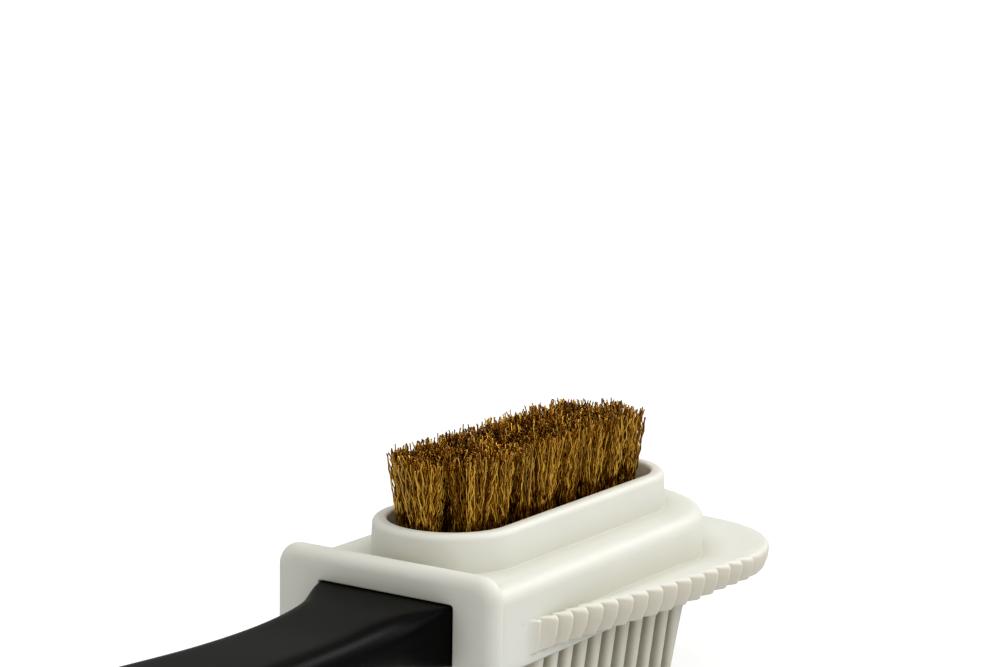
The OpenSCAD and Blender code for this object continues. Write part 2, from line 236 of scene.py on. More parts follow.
def half_loop():
    """The stations of the left half, from the middle of the back to the nose."""
    half = [Station(collar_x, (shell_back, body_half * i / rear_steps)) for i in range(rear_steps)]
    for i in range(side_steps):
        x = shell_back + (lip_start - shell_back) * i / side_steps
        half.append(Station(collar_x, (x, body_half)))
    for k in range(tooth_count):
        for share, height in tooth_form:
            run = tooth_run(k + share)
            if run > edge_run[-1] - tip_gap:
                continue
            base = edge_at(run)
            lip = base + edge_normal(run) * height * tooth_reach(run)
            crest = 1 + height * tooth_reach(run) / tooth_depth
            if base[0] < collar_x:
                half.append(Station(collar_x, (base[0], body_half), lip, run, crest))
            elif base[0] < arc_x:
                half.append(Station(base[0], (base[0], body_half), lip, run, crest))
            else:
                half.append(Station(arc_x, base, lip, run, crest))
    tip = edge_at(edge_run[-1])
    half.append(Station(arc_x, (arc_x + lip_reach, 0), tip, edge_run[-1], 1))
    return half


left = half_loop()
print(len(left), "stations on each half")

# %% [markdown]
# ## The rubber head
# The head is one soft moulding, so nothing on it has a sharp edge: the deck rolls over
# its rim, the lip grows out of the wall with a small fillet, and the collar stands on
# another. Booleans and bevels could make these, but they break up where a bevel crosses
# 50 teeth. Here every fillet is a few rings, which also lets the lip sink towards the
# back and die into the wall, as it does on the real brush. The lip isn't the same all
# along: its thickness, the draft of its face and the rounding of its teeth each come
# from a short table.

# %% Sizes that change along the lip
edge_r, foot_r, collar_r, rim_in_r, rim_foot_r = 0.5, 0.12, 0.9, 0.45, 0.15
lip_fillet, support, under_r = 0.45, 0.12, 0.5
# Where the lip is narrow, a fillet takes at most these shares of its reach
fillet_share, flat_share = 0.45, 0.48
# The lip's top is dished: it sinks towards the wall, and a hair behind the teeth
sink_slope, sink_most, dish_back, dish = 0.4, 1.1, 2.1, 0.02
# Share of the edge, and the size there
draft_at = [(0, 0.5), (0.09, 0.65), (0.15, 1), (0.23, 1), (0.3, 0.75), (0.5, 0.6), (1, 0.3)]
tooth_r_at = [(0, 0.9), (0.5, 0.8), (1, 0.7)]
low_at = [(0, -9.6), (0.1, -9.4), (0.2, -9.2), (0.3, -8.95), (0.5, -8.55), (0.6, -8.75), (1, -8.6)]
top_at = [(0, -5.2), (0.15, -5), (0.35, -4.85), (0.5, -4.95), (0.6, -5.4), (0.85, -5.3), (1, -5.3)]


def by_share(table, station):
    """A size that changes along the lip, from a table of share and size."""
    return float(np.interp(station.share, *zip(*table)))


def foot_z(station):
    """Height at which the lip's dished top meets the wall."""
    sink = float(np.clip(sink_slope * (station.smooth - 1), 0, sink_most))
    return by_share(top_at, station) - sink


def tooth_r(station):
    """Rounding along the top of a tooth, which grows towards its crest."""
    r = by_share(tooth_r_at, station) * (0.3 + 0.7 * station.crest)
    return min(r, fillet_share * station.reach)


def draft(station):
    """How far the face of a tooth leans in from top to bottom."""
    return min(by_share(draft_at, station), 0.5 * station.reach)


print("the lip is", round(low_at[0][1] - top_at[0][1], 1), "mm thick at the rear and",
      round(low_at[-1][1] - top_at[-1][1], 1), "mm at the nose")


# %% Rings of the head
def lip_point(station, distance):
    """A point between the body's wall and the lip's edge, from the wall outwards."""
    if station.reach == 0:
        return station.body(body_half)
    wall = station.body(body_half)
    return wall + (station.lip - wall) * distance / station.reach


def ring(place):
    """A closed ring from a function that gives each station's point and height."""
    half = [(*place(s)[0], place(s)[1]) for s in left]
    right = [(x, -y, z) for x, y, z in half[-2:0:-1]]
    return np.array(half + right)


def body_ring(inset, z):
    return ring(lambda s: (s.body(body_half - inset), z))


def collar_ring(radius, z):
    return ring(lambda s: (s.round(radius), z))


print("a ring of the head has", len(body_ring(0, 0)), "points")

# %% Underside and face of the lip
rings = [body_ring(edge_r * (1 - s), -body_h + edge_r * c) for s, c in quarter(3)]
for s, c in quarter(3):
    def under(station, s=s, c=c):
        r = min(lip_fillet, fillet_share * station.reach)
        return lip_point(station, r * c), by_share(low_at, station) - r * (1 - s)
    rings.append(ring(under))
for s, c in quarter(4):
    def under_edge(station, s=s, c=c):
        width = station.reach - draft(station)
        r = min(under_r, 0.4 * width)
        return lip_point(station, width - r * (1 - s)), by_share(low_at, station) + r * c
    rings.append(ring(under_edge))


def face_middle(station):
    low, top = by_share(low_at, station), by_share(top_at, station)
    return lip_point(station, station.reach - 0.25 * draft(station)), low + 0.45 * (top - low)


rings.append(ring(face_middle))
for s, c in quarter(5):
    def top_edge(station, s=s, c=c):
        r = tooth_r(station)
        return lip_point(station, station.reach - r * c), by_share(top_at, station) - r * (1 - s)
    rings.append(ring(top_edge))
print(len(rings), "rings up to the lip's upper edge")


# %% Top of the lip
def top_outer(station):
    back = dish_back - tooth_depth * (1 - station.crest)
    r = min(max(back, tooth_r(station) + support), flat_share * station.reach)
    z = by_share(top_at, station) - dish * min(1, station.reach)
    return lip_point(station, station.reach - r), z


def top_inner(station):
    return lip_point(station, min(foot_r + support, flat_share * station.reach)), foot_z(station)


rings += [ring(top_outer), ring(top_inner)]
for s, c in quarter(4):
    def top_fillet(station, s=s, c=c):
        r = min(foot_r, fillet_share * station.reach)
        return lip_point(station, r * (1 - s)), foot_z(station) + r * c
    rings.append(ring(top_fillet))
print(len(rings), "rings up to the foot of the wall")

# %% Wall, deck and collar
wall_z, floor_z = -4, 0.3
rings.append(body_ring(0, wall_z))
rings.append(body_ring(0, -deck_r - support))
rings += [body_ring(deck_r * c, -deck_r * (1 - s)) for s, c in quarter(6)]
rings.append(body_ring(deck_r + support, 0))
rings.append(collar_ring(collar_out + rim_foot_r + support, 0))
rings += [collar_ring(collar_out + rim_foot_r * (1 - s), rim_foot_r * c) for s, c in quarter(4)]
collar_top_r = collar_out - collar_lean
for s, c in quarter(6):
    rings.append(collar_ring(collar_top_r - collar_r * c, collar_h - collar_r * (1 - s)))
for s, c in quarter(4):
    rings.append(collar_ring(collar_in + rim_in_r * (1 - s), collar_h - rim_in_r * c))
rings.append(collar_ring(collar_in, floor_z))
head = piece("rubber_head_shell", [skin(rings)])

# %% [markdown]
# ## Painted shade on the teeth
# The upright flanks of the teeth are painted a little browner and darker than the
# smooth skin, as painted shade. A second material would end in a hard line. A number
# on each point fades instead, and the rubber's material reads it: 1 on the upright
# faces beyond the wall, 0 on the rest.

# %% Mark the teeth
mark_start, mark_fade = 5, 0.6
# Painted shade: 1 darkens the upright tooth flanks in the rubber's colour.
mark = head.data.attributes.new("painted_shade", "FLOAT", "POINT")
for vertex, value in zip(head.data.vertices, mark.data):
    x, y, _ = np.array(vertex.co) / MM - drawing_origin
    beyond = (abs(y) if x < arc_x else hypot(x - arc_x, y)) - body_half
    steep = np.clip(1.4 - 1.6 * abs(vertex.normal.z), 0, 1)
    on_lip = np.clip(beyond / mark_fade - 0.3, 0, 1)
    value.value = float(on_lip * steep) if x > mark_start else 0
print(sum(value.value > 0.5 for value in mark.data), "points of the head are marked")

# %% [markdown]
# ## The rim plate
# The back of the head ends in an upright plate with the socket for the handle. It is
# the thickest edge of the moulding and the softest: its outer edge is rolled over, and a
# cove runs from its front face into the deck and the walls. A cut and bevelled block
# would need a bevel of another size on each of these edges. So rings are used again.
# They are rounded rectangles that run round the socket, out over the face, round the edge
# and back in along the cove, so the skin closes on itself like a picture frame.

# %% Rounded rectangles
face_r, front_r, cove_r, socket_r, socket_corner_r = 1.7, 0.4, 0.7, 0.22, 0.35
plate_shift, socket_shift = 0.6, 0.2
corner_steps, flat_steps = 8, 12


def rounded_box(half, low, top, r, x):
    """A ring in the plane of the plate: a rectangle with rounded corners."""
    corners = [
        (half - r, top - r, 0), (-half + r, top - r, 90),
        (-half + r, low + r, 180), (half - r, low + r, 270),
    ]
    points = []
    for k, (y, z, start) in enumerate(corners):
        for i in range(corner_steps + 1):
            a = radians(start + 90 * i / corner_steps)
            points.append((x, y + r * cos(a), z + r * sin(a)))
        y2, z2, _ = corners[(k + 1) % 4]
        end = radians(start + 90)
        for i in range(1, flat_steps):
            t = i / flat_steps
            points.append((x, y + (y2 - y) * t + r * cos(end), z + (z2 - z) * t + r * sin(end)))
    return np.array(points)


def plate_ring(inset, x):
    """The plate's outline, drawn in by an inset, with corners that tighten less."""
    r = max(plate_r - 0.6 * inset, 0.3)
    flat = rounded_box(plate_half - inset, plate_low + inset, plate_top - inset, r, x)
    return flat + (0, plate_shift, 0)


def section_ring(offset, x):
    """The body's own cross-section, grown by an offset, and by less at its sides."""
    return rounded_box(body_half + 0.6 * offset, -body_h - offset, offset, deck_r + offset, x)


def socket_ring(offset, x):
    """The socket's mouth, grown by an offset."""
    r = socket_corner_r + offset
    flat = rounded_box(socket_half + offset, socket_low - offset, socket_top + offset, r, x)
    return flat + (0, socket_shift, 0)


print("a rounded rectangle has", len(plate_ring(0, 0)), "points")

# %% Skin of the rim plate
sunk, back_gap = 0.4, 0.05
rings = [socket_ring(socket_r * c, socket_r * (1 - s)) for s, c in quarter(3)]
rings += [plate_ring(face_r * (1 - s), face_r * c) for s, c in quarter(6)]
rings += [plate_ring(front_r * c, plate_t - front_r * (1 - s)) for s, c in quarter(3)]
rings += [section_ring(cove_r * (1 - s), plate_t + cove_r * c) for s, c in quarter(5)]
rings.append(section_ring(-sunk, plate_t + cove_r))
rings.append(section_ring(-sunk, plate_t - back_gap))
rings.append(socket_ring(0, plate_t - back_gap))
plate = piece("rim_plate", [skin(rings, closed=True)])

# %% [markdown]
# ## The fins
# Ten equal rubber fins and one slimmer front fin hang under the head. They are moulded
# with rounded ends and taper to their tips. Copies of one form are the natural case for
# Geometry Nodes: a line of points gives the places, and Instance on Points puts the form
# on each. The front fin differs, so it has a mesh of its own, made by the same function.

# %% Form of a fin
fin_count, fin_pitch, fin_start, fin_h = 11, 3.6, 13.7, 13
fin_root_t, fin_tip_t, fin_root_w, fin_tip_w = 2.1, 1.5, 30, 26.8
fin_rake, fin_crowd, fin_end, fin_tip_r, fin_flare = 2.1, 0.5, 0.95, 0.3, 0.45
front_slim, fin_square, fin_painted_shade = 0.6, 0.8, 0.8
end_steps, depth_steps = 12, 6


def fin_outline(x, back, front, half, z):
    """A long narrow ring with rounded ends, a little squarer than half circles."""
    points = []
    for side in (-1, 1):
        for i in range(end_steps + 1):
            a = radians(180 * i / end_steps)
            c, s = cos(a), sin(a)
            across = np.sign(c) * abs(c) ** fin_square * side
            points.append((
                x + across * (front if across > 0 else back),
                side * (half - fin_end + fin_end * s ** fin_square),
                z,
            ))
    return np.array(points)


def fin_skin(x, slim=0, rake=0):
    """One fin, from its flared root to its rounded tip. A rake slopes its front face."""
    def at_depth(depth, grow=0):
        t = depth / fin_h
        thick = (fin_root_t + (fin_tip_t - fin_root_t) * t) / 2
        half = (fin_root_w + (fin_tip_w - fin_root_w) * t) / 2
        front = thick - slim + rake * (1 - t)
        return fin_outline(x, thick + grow, front + grow, half + grow, -body_h - depth)

    rings = [at_depth(fin_flare * c, fin_flare * (1 - s)) for s, c in quarter(3)]
    rings.insert(0, rings[0] + (0, 0, 0.5))
    rings += [at_depth(fin_h * k / depth_steps) for k in range(1, depth_steps)]
    rings += [at_depth(fin_h - fin_tip_r * (1 - s), -fin_tip_r * c) for s, c in quarter(3)]
    return skin(rings)


front_x = fin_start + (fin_count - 1) * fin_pitch - fin_crowd
front_fin = piece("front_fin", [fin_skin(front_x, front_slim, fin_rake)])
fin_form = piece("fin_form", [fin_skin(fin_start)])
for made in (front_fin, fin_form):
    # Painted shade: the fins get the same darker, browner mark, at 0.8.
    values = made.data.attributes.new("painted_shade", "FLOAT", "POINT")
    values.data.foreach_set("value", [fin_painted_shade] * len(made.data.vertices))

# %% [markdown]
# ## Running a node tree
# A tree is a small program. These helpers add one node with its settings and links, start
# a tree with named inputs, and run a finished tree. The last one sets the modifier's
# inputs by their identifiers, takes the evaluated result as a plain mesh and removes the
# modifier, so nothing live is left.

# %% Helpers for node trees
MATH, VECTOR_MATH = "ShaderNodeMath", "ShaderNodeVectorMath"


def node(tree, kind, inputs=None, **settings):
    """Adds a node with its settings, and sets or links its inputs."""
    made = tree.nodes.new(kind)
    for key, value in settings.items():
        setattr(made, key, value)
    for key, value in (inputs or {}).items():
        if isinstance(value, bpy.types.NodeSocket):
            tree.links.new(value, made.inputs[key])
        else:
            made.inputs[key].default_value = value
    return made


def new_tree(name, sizes):
    """A tree with named inputs. Returns it with its group input node."""
    tree = bpy.data.node_groups.new(name, "GeometryNodeTree")
    for label, kind in sizes.items():
        tree.interface.new_socket(label, in_out="INPUT", socket_type="NodeSocket" + kind)
    tree.interface.new_socket("Geometry", in_out="OUTPUT", socket_type="NodeSocketGeometry")
    return tree, tree.nodes.new("NodeGroupInput").outputs


def grow(name, tree, values):
    """Runs a tree with these input values and keeps the result as a plain mesh."""
    made = bpy.data.objects.new(name, bpy.data.meshes.new(name))
    bpy.context.scene.collection.objects.link(made)
    modifier = made.modifiers.new("tree", "NODES")
    modifier.node_group = tree
    for item in tree.interface.items_tree:
        if item.in_out == "INPUT":
            modifier[item.identifier] = values[item.name]
    graph = bpy.context.evaluated_depsgraph_get()
    result = bpy.data.meshes.new_from_object(made.evaluated_get(graph))
    made.modifiers.remove(modifier)
    made.data = result
    return made


# %% [markdown]
# ## Materials come first
# Set Material needs the materials while the trees run, so they are made here. Each one
# starts from what the real surface is. Patterns read Object coordinates, which are in
# metres, so a pattern's scale is one over the size of its features. Colours are written
# as hex codes and turned to the linear values that Blender reckons with.

# %% Colours and a base for materials
def colour(code):
    """An sRGB hex colour as linear values."""
    channels = [int(code[i:i + 2], 16) / 255 for i in (1, 3, 5)]
    linear = [c / 12.92 if c <= 0.04045 else ((c + 0.055) / 1.055) ** 2.4 for c in channels]
    return (*linear, 1)


def finish_of(name, **constants):
    """A new material. Returns it with its tree, shader and object coordinates."""
    material = bpy.data.materials.new(name)
    material.use_nodes = True
    tree = material.node_tree
    shader = tree.nodes["Principled BSDF"]
    for label, value in constants.items():
        shader.inputs[label.replace("_", " ")].default_value = value
    return material, tree, shader, tree.nodes.new("ShaderNodeTexCoord").outputs["Object"]


def per_metre(millimetres):
    """Scale of a pattern whose features are this many millimetres wide."""
    return 1 / (millimetres * MM)


print("mid grey #808080 is", round(colour("#808080")[0], 3), "in linear light")

# %% [markdown]
# ## The rubber's finish
# The head is off-white thermoplastic rubber from a polished mould. It is chalky white
# with a little cream, light creeps a millimetre or two under its skin, and its gloss is
# wide and weak. Grooves and corners are painted darker and browner, as painted shade.
# An Ambient Occlusion node finds them from the shape alone, so they need no map of
# their own, and the painted shade mark from before does the same for the teeth and fins.

# %% Rubber
rubber, tree, shader, place = finish_of(
    "off_white_thermoplastic_rubber", Roughness=0.5, IOR=1.5,
    Subsurface_Weight=0.25, Subsurface_Radius=(1.0, 0.75, 0.5), Subsurface_Scale=1.4 * MM,
)
mottle = node(tree, "ShaderNodeTexNoise", {"Vector": place, "Scale": per_metre(9), "Detail": 3.0})
tint = node(tree, "ShaderNodeMix", {
    "Factor": mottle.outputs["Fac"], 6: colour("#E3E3D9"), 7: colour("#E9E9E1"),
}, data_type="RGBA")
painted_shade = node(tree, "ShaderNodeAttribute", attribute_name="painted_shade")
# Painted shade: marked flanks and fins mix towards a darker brown cream.
painted_flank_shade = node(tree, "ShaderNodeMix", {
    "Factor": painted_shade.outputs["Fac"], 6: tint.outputs[2], 7: colour("#E0DBCC"),
}, data_type="RGBA")
# Painted shade: the Ambient Occlusion node darkens the colour towards brown grey in grooves, gaps
# and corners.
shade_occlusion = node(tree, "ShaderNodeAmbientOcclusion", {"Distance": 4.5 * MM}, samples=8)
painted_crevice_shade = node(tree, "ShaderNodeMix", {
    "Factor": shade_occlusion.outputs["AO"], 6: colour("#B2AF9B"), 7: painted_flank_shade.outputs[2],
}, data_type="RGBA")
tree.links.new(painted_crevice_shade.outputs[2], shader.inputs["Base Color"])
grain = node(tree, "ShaderNodeTexNoise", {"Vector": place, "Scale": per_metre(0.6), "Detail": 4.0})
bump = node(tree, "ShaderNodeBump", {
    "Height": grain.outputs["Fac"], "Strength": 0.12, "Distance": 0.04 * MM,
})
tree.links.new(bump.outputs["Normal"], shader.inputs["Normal"])
print(rubber.name, "has", len(tree.nodes), "nodes")

# %% [markdown]
# ## Two kinds of brass
# The wires are drawn brass, crimped between gears. The eye sees brown-gold with bright
# glints, and no two wires alike. One colour would look like paint, so each wire's own
# number sets its tarnish, and a noise stretched along the wire paints bright and dark
# patches into that colour, as painted glints and painted shade. The anchors are plain
# rolled strip, yellower and even.

# %% Brass wire
brass_wire, tree, shader, place = finish_of("crimped_brass_wire", Metallic=1.0, Roughness=0.27)
each = node(tree, "ShaderNodeAttribute", attribute_name="wire")
stretch = node(tree, "ShaderNodeMapping", {"Vector": place, "Scale": (1, 1, 0.25)})
# Painted glints and painted shade: bright and dark patches along each wire.
painted_glints = node(tree, "ShaderNodeTexNoise", {
    "Vector": stretch.outputs["Vector"], "Scale": per_metre(0.5), "Detail": 2.0,
})
mixed = node(tree, MATH, {0: each.outputs["Fac"], 1: painted_glints.outputs["Fac"]}, operation="MULTIPLY")
tint = node(tree, "ShaderNodeMapRange", {
    "Value": mixed.outputs[0], "From Min": 0.1, "From Max": 0.37,
})
ramp = node(tree, "ShaderNodeMix", {
    "Factor": tint.outputs["Result"], 6: colour("#80500A"), 7: colour("#FFCB52"),
}, data_type="RGBA")
tree.links.new(ramp.outputs[2], shader.inputs["Base Color"])
print(brass_wire.name, "has", len(tree.nodes), "nodes")

# %% Brass strip
brass_strip, tree, shader, place = finish_of("rolled_brass_strip", Metallic=1.0, Roughness=0.3)
roll = node(tree, "ShaderNodeTexNoise", {"Vector": place, "Scale": per_metre(0.4), "Detail": 2.0})
ramp = node(tree, "ShaderNodeMix", {
    "Factor": roll.outputs["Fac"], 6: colour("#B98F3A"), 7: colour("#D8B056"),
}, data_type="RGBA")
tree.links.new(ramp.outputs[2], shader.inputs["Base Color"])
print(brass_strip.name, "has", len(tree.nodes), "nodes")

# %% [markdown]
# ## Black polypropylene
# The handle is moulded polypropylene, dyed black. Its skin is a fine satin from the
# mould, so it is nearly black where it faces the light square on and shows soft grey
# sheens along its edges. Most of the look is in the roughness and a low specular level.
# The grain only softens the sheen. It is drawn coarser than the real one, which would
# be too fine to show.

# %% Black polypropylene
black_plastic, tree, shader, place = finish_of(
    "black_moulded_polypropylene", Roughness=0.36, IOR=1.49, Specular_IOR_Level=0.037,
)
cloud = node(tree, "ShaderNodeTexNoise", {"Vector": place, "Scale": per_metre(12), "Detail": 3.0})
tint = node(tree, "ShaderNodeMix", {
    "Factor": cloud.outputs["Fac"], 6: colour("#020202"), 7: colour("#050505"),
}, data_type="RGBA")
tree.links.new(tint.outputs[2], shader.inputs["Base Color"])
satin = node(tree, "ShaderNodeTexNoise", {"Vector": place, "Scale": per_metre(0.35), "Detail": 2.0})
bump = node(tree, "ShaderNodeBump", {
    "Height": satin.outputs["Fac"], "Strength": 0.15, "Distance": 0.03 * MM,
})
tree.links.new(bump.outputs["Normal"], shader.inputs["Normal"])
print(black_plastic.name, "has", len(tree.nodes), "nodes")

# %% [markdown]
# ## The row of fins
# The ten equal fins stand on the real head like the teeth of a comb. An Array modifier
# would also do. The tree is chosen because its inputs, the count and the pitch, have
# names, and because it sets the material in the same place.

# %% Row of fins
fin_tree, given = new_tree("row_of_fins", {
    "Form": "Object", "Fins": "Int", "Pitch": "Float", "Rubber": "Material",
})
step = node(fin_tree, "ShaderNodeCombineXYZ", {"X": given["Pitch"]})
places = node(fin_tree, "GeometryNodeMeshLine", {
    "Count": given["Fins"], "Offset": step.outputs[0],
}, mode="OFFSET")
form = node(fin_tree, "GeometryNodeObjectInfo", {"Object": given["Form"]})
copies = node(fin_tree, "GeometryNodeInstanceOnPoints", {
    "Points": places.outputs[0], "Instance": form.outputs["Geometry"],
})
plain = node(fin_tree, "GeometryNodeRealizeInstances", {0: copies.outputs[0]})
painted = node(fin_tree, "GeometryNodeSetMaterial", {
    "Geometry": plain.outputs[0], "Material": given["Rubber"],
})
node(fin_tree, "NodeGroupOutput", {0: painted.outputs[0]})
fins = grow("fins", fin_tree, {
    "Form": fin_form, "Fins": fin_count - 1, "Pitch": fin_pitch * MM, "Rubber": rubber,
})
bpy.data.objects.remove(fin_form)
print("the row of fins has", len(fins.data.polygons), "faces")

# %% [markdown]
# ## The handle
# The handle is a long shallow bar: square where it enters the socket, drawn in at the
# neck, wide and full at the grip, and flat round the hanging hole. A subdivided box could
# be pulled into this form by hand. Here it is drawn as a few cross-sections with a smooth
# curve through their sizes, because those can be measured. Each section is a rectangle
# with rounded corners, sharp in the socket and nearly round at the neck. The bar ends in
# a shoulder that closes the socket, and the core that holds the tufts stands in the
# collar.

# %% Sections of the handle
handle_len, end_round = 95, 12
tang_z, grip_mid = -5.65, -6.15
neck_w, neck_t, grip_w, grip_t, end_t = 16.8, 5, 25, 9.6, 6
tang_gap = 0.1
tang_half = socket_half - tang_gap
end_top, end_low = grip_mid + end_t / 2, grip_mid - end_t / 2
full_top, full_low = grip_mid + grip_t / 2, grip_mid - grip_t / 2
neck_top, neck_low = tang_z + neck_t / 2, tang_z - neck_t / 2
# Place behind the plate, half width, top, bottom and rounding
stations = np.array([
    (-95, grip_w / 2 - 2.4, end_top, end_low, 2.2),
    (-88, grip_w / 2 - 2.4, end_top, end_low, 2.2),
    (-78, grip_w / 2 - 1.8, end_top + 0.6, end_low - 0.9, 2.9),
    (-62, grip_w / 2, full_top - 0.6, full_low, 4.2),
    (-45, grip_w / 2 - 1.6, full_top - 1.1, full_low + 0.6, 4),
    (-30, neck_w / 2 + 0.2, neck_top + 0.4, neck_low - 1.3, 3.5),
    (-18, neck_w / 2 - 0.3, neck_top + 0.25, neck_low - 0.6, 3),
    (-7, neck_w / 2 + 0.35, neck_top + 0.72, neck_low - 0.9, 2.7),
    (0, tang_half, socket_top - tang_gap, socket_low + tang_gap, 0.5),
    (8, tang_half, socket_top - tang_gap, socket_low + tang_gap, 0.5),
])


def through_stations(x, column):
    """Smooth curve through one column of the stations."""
    xs, ys = stations[:, 0], stations[:, column]
    k = int(np.clip(np.searchsorted(xs, x) - 1, 0, len(xs) - 2))
    before, after = max(k - 1, 0), min(k + 2, len(xs) - 1)
    gap = xs[k + 1] - xs[k]
    t = (x - xs[k]) / gap
    start = (ys[k + 1] - ys[before]) / (xs[k + 1] - xs[before]) * gap
    end = (ys[after] - ys[k]) / (xs[after] - xs[k]) * gap
    return (ys[k] * (2 * t ** 3 - 3 * t * t + 1) + start * (t ** 3 - 2 * t * t + t)
            + ys[k + 1] * (3 * t * t - 2 * t ** 3) + end * (t ** 3 - t * t))


neck_width = 2 * float(through_stations(-30, 1))
print("30 mm behind the plate the handle is", round(neck_width, 1), "mm wide")

# %% Skin of the handle
ring_count = 150
tang_end, shoulder, mouth_gap = 1.3, 0.4, 0.01
thin_share, low_share, corner_share, shift_len = 0.02, 0.35, 0.98, 18


def handle_ring(x):
    """The handle's cross-section at a place. It narrows and thins at the rounded end."""
    past = max(0, (-handle_len + end_round - x) / end_round)
    half = through_stations(x, 1) * max(sqrt(max(1 - past ** 2, 0)), thin_share)
    top, low, r = (through_stations(x, column) for column in (2, 3, 4))
    mid = (top + low) / 2
    tall = (top - low) / 2 * max((1 - min(past, 1) ** 8) ** 0.25, low_share)
    r = min(r, corner_share * tall, corner_share * half)
    shift = socket_shift * np.clip((x + shift_len) / shift_len, 0, 1)
    return rounded_box(half, mid - tall, mid + tall, r, x) + (0, shift, 0)


def handle_place(i):
    """Rings stand closer together towards the rounded end."""
    u = i / (ring_count - 1)
    return -handle_len + (handle_len + tang_end) * (1 - cos(pi / 2 * u)) * (0.35 + 0.65 * u)


bar = [handle_ring(handle_place(i)) for i in range(ring_count)]
bar += [socket_ring(-mouth_gap, x) for x in (tang_end, tang_end + shoulder)]
core_top, core_gap, core_edge = 1.2, 0.1, 0.2
core_low = floor_z + 0.01
core = [collar_ring(collar_in - core_gap, z) for z in (core_low, core_top - core_edge)]
core.append(collar_ring(collar_in - core_gap - core_edge, core_top))
handle = piece("handle_moulding", [skin(bar), skin(core)])

# %% [markdown]
# ## The hanging hole
# The hole goes through the flat end. A Boolean with a turned cutter is the short way: the
# cutter's waist is the hole, and it widens at both ends as a countersink does, so the
# cut leaves rounded edges.

# %% Cut the hanging hole
hang_d, hang_inset, hole_edge, cutter_over, cutter_sides = 5.5, 8.5, 0.6, 2, 72
hole_x = hang_inset - handle_len
turns = [2 * pi * i / cutter_sides for i in range(cutter_sides)]
cutter_rings = []
for side in (-1, 1):
    face = grip_mid + side * end_t / 2
    profile = [(hole_edge * c, face - side * hole_edge * (1 - s)) for s, c in quarter(4)]
    profile.append((hole_edge + cutter_over, face + side * cutter_over))
    for grown, z in (profile if side > 0 else profile[::-1]):
        radius = hang_d / 2 + grown
        circle = [(hole_x + radius * cos(a), radius * sin(a), z) for a in turns]
        cutter_rings.append(np.array(circle))
cutter = piece("hole_cutter", [skin(cutter_rings)])
cut = handle.modifiers.new("hole", "BOOLEAN")
cut.object = cutter
cut.operation = "DIFFERENCE"
cut.solver = "EXACT"
graph = bpy.context.evaluated_depsgraph_get()
drilled = bpy.data.meshes.new_from_object(handle.evaluated_get(graph))
handle.modifiers.remove(cut)
handle.data = drilled
bpy.data.objects.remove(cutter)
drilled.set_sharp_from_angle(angle=radians(40))
print("the drilled handle has", len(drilled.polygons), "faces")

# %% [markdown]
# ## The wires
# Each tuft is a bundle of crimped wires, folded in half and pinned in its hole. They
# leave the core packed tight and fan out until the tufts meet. A particle system could
# draw them, but it leaves no mesh. In Geometry Nodes one straight line is copied, and Set
# Position gives each copy its own place in the packing, its own lean, length and crimp.
# Real wires cling together in locks, so a slow noise moves neighbours the same way, and a
# random part on top makes a few stand out. The crimp is a small sine wave whose phase
# follows the lock too. A number stored on each wire lets the material vary its colour.
# The real wires are finer and more: 170 to a tuft, a fifth of a millimetre thick, are as
# coarse as they can be drawn. Three sides are enough at that size.

# %% Tree of one tuft
tuft_tree, given = new_tree("tuft_of_crimped_wire", {
    "Root": "Vector", "Lean": "Vector", "Wires": "Int", "Root radius": "Float", "Spread": "Float",
    "Height": "Float", "Uneven": "Float", "Wander": "Float", "Crimp": "Float", "Waves": "Float",
    "Wire radius": "Float", "Seed": "Int", "Brass": "Material",
})
line = node(tuft_tree, "GeometryNodeCurvePrimitiveLine")
bends = node(tuft_tree, "GeometryNodeResampleCurve", {"Curve": line.outputs[0], "Count": 19})
wires = node(tuft_tree, "GeometryNodeDuplicateElements", {
    "Geometry": bends.outputs[0], "Amount": given["Wires"],
}, domain="SPLINE")
index = wires.outputs["Duplicate Index"]
print("the tree of a tuft takes", len(given) - 1, "inputs")

# %% Place of each wire in the packing
# Steps of the golden angle, with radii that grow as a square root, fill a disc evenly.
nth = node(tuft_tree, MATH, {0: index, 1: 0.5}, operation="ADD")
share = node(tuft_tree, MATH, {0: nth.outputs[0], 1: given["Wires"]}, operation="DIVIDE")
away = node(tuft_tree, MATH, {0: share.outputs[0]}, operation="SQRT")
radius = node(tuft_tree, MATH, {
    0: away.outputs[0], 1: given["Root radius"],
}, operation="MULTIPLY")
golden_angle = pi * (3 - sqrt(5))
golden = node(tuft_tree, MATH, {0: index, 1: golden_angle}, operation="MULTIPLY")
arm = node(tuft_tree, "ShaderNodeCombineXYZ", {"X": radius.outputs[0]})
start = node(tuft_tree, "ShaderNodeVectorRotate", {
    "Vector": arm.outputs[0], "Angle": golden.outputs[0],
}, rotation_type="Z_AXIS")
print("each wire stands", round(golden_angle * 180 / pi, 1), "degrees round from the last")

# %% Locks of wires
# A noise read at the wires' places moves those that stand close together the same way.
fan = node(tuft_tree, VECTOR_MATH, {
    0: start.outputs[0], "Scale": given["Spread"],
}, operation="SCALE")
leant = node(tuft_tree, VECTOR_MATH, {0: fan.outputs[0], 1: given["Lean"]}, operation="ADD")
seed_step = node(tuft_tree, "ShaderNodeCombineXYZ", {"Z": given["Seed"]})
lock_place = node(tuft_tree, VECTOR_MATH, {
    0: start.outputs[0], 1: (per_metre(1), per_metre(1), 0), 2: seed_step.outputs[0],
}, operation="MULTIPLY_ADD")
lock = node(tuft_tree, "ShaderNodeTexNoise", {
    "Vector": lock_place.outputs[0], "Scale": 0.9, "Detail": 0.0,
})
lock_side = node(tuft_tree, VECTOR_MATH, {
    0: lock.outputs["Color"], 1: (2, 2, 0), 2: (-1, -1, 0),
}, operation="MULTIPLY_ADD")
print(len(tuft_tree.nodes), "nodes so far")

